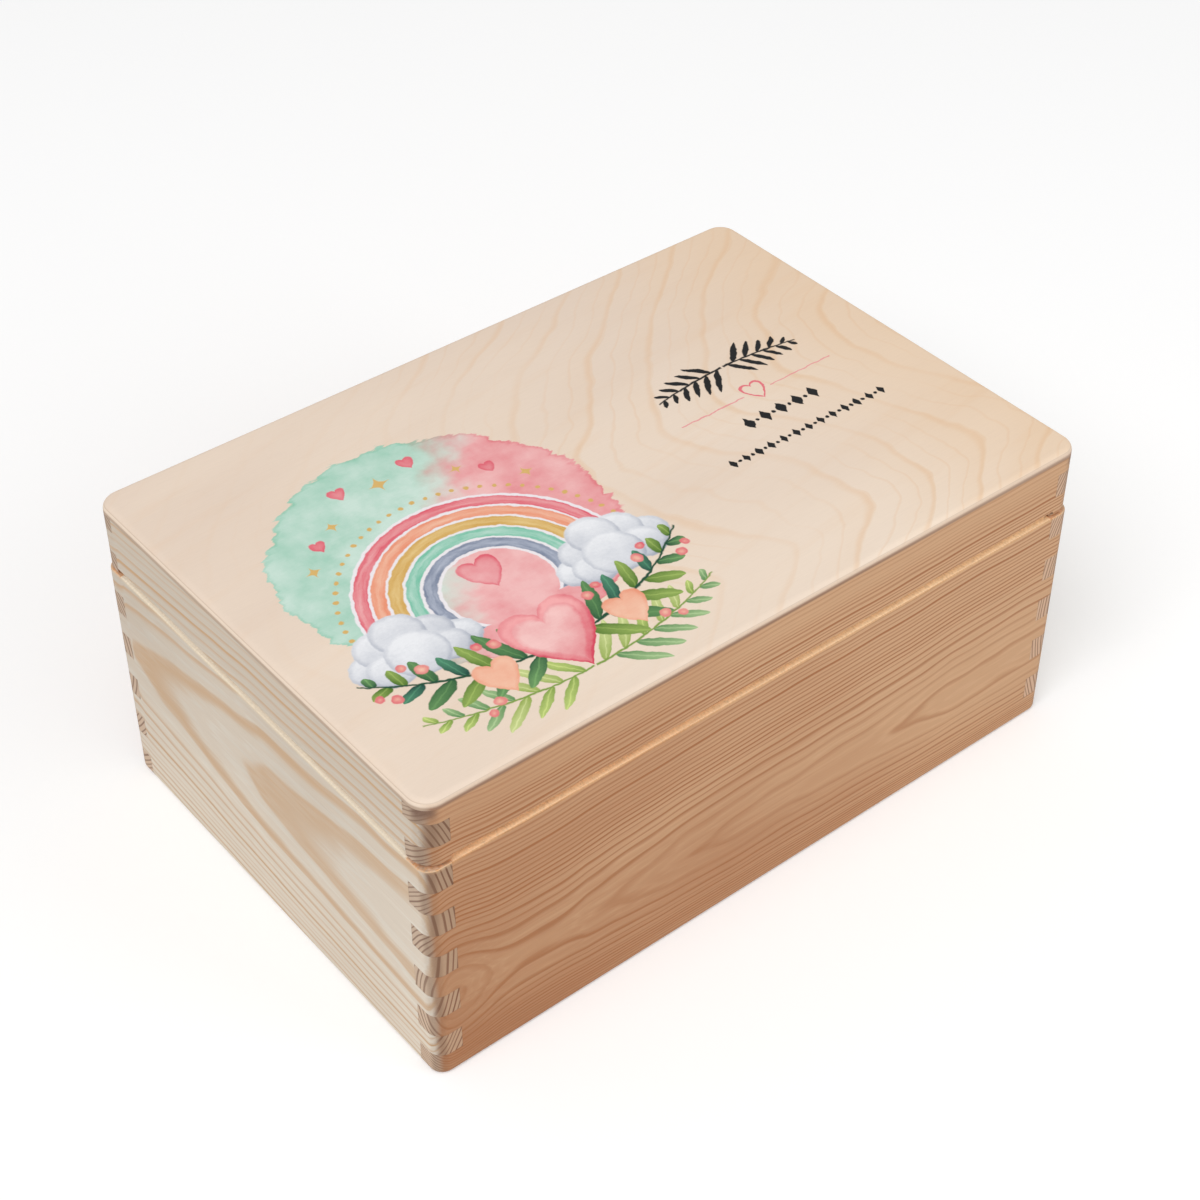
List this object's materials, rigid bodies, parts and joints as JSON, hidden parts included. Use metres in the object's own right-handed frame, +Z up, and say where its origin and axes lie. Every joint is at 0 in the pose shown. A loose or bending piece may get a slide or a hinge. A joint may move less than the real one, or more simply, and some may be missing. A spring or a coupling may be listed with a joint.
{
  "type": "keepsake box",
  "caption": "Rectangular finger-jointed wooden box with a hinged lid frame under a plywood top, for papers and keepsakes.",
  "frame": {"origin": "middle of the foot that the box stands on", "axes": "+X along the long front edge to the right, +Y from the front to the hinged back, +Z up"},
  "size_m": [0.3, 0.201, 0.1322],
  "materials": {
    "pine_long": "bare sanded pine, warm tan with close darker growth lines along the board",
    "pine_end": "bare sanded pine, pale cream with wide tan figure",
    "birch_ply": "bare sanded birch plywood, pale with faint wavy figure",
    "printed_ply": null,
    "brass": "thin brass plating, satin"
  },
  "bodies": {
    "body": {"body_front_board": "pine_long", "body_back_board": "pine_long", "body_left_board": "pine_end", "body_right_board": "pine_end", "bottom_panel": "birch_ply", "left_hinge_body_leaf": "brass", "left_hinge_pin": "brass", "left_hinge_body_screws": "brass", "right_hinge_body_leaf": "brass", "right_hinge_pin": "brass", "right_hinge_body_screws": "brass"},
    "lid": {"lid_front_board": "pine_long", "lid_back_board": "pine_long", "lid_left_board": "pine_end", "lid_right_board": "pine_end", "lid_top_panel": "printed_ply", "left_hinge_lid_leaf": "brass", "left_hinge_lid_screws": "brass", "right_hinge_lid_leaf": "brass", "right_hinge_lid_screws": "brass"}
  },
  "joints": [
    {"name": "lid_hinge", "type": "hinge", "parent": "body", "child": "lid", "pos_m": [0, 0.0991, 0.1021], "axis": [-1, 0, 0], "range_deg": [0, 105]}
  ]
}
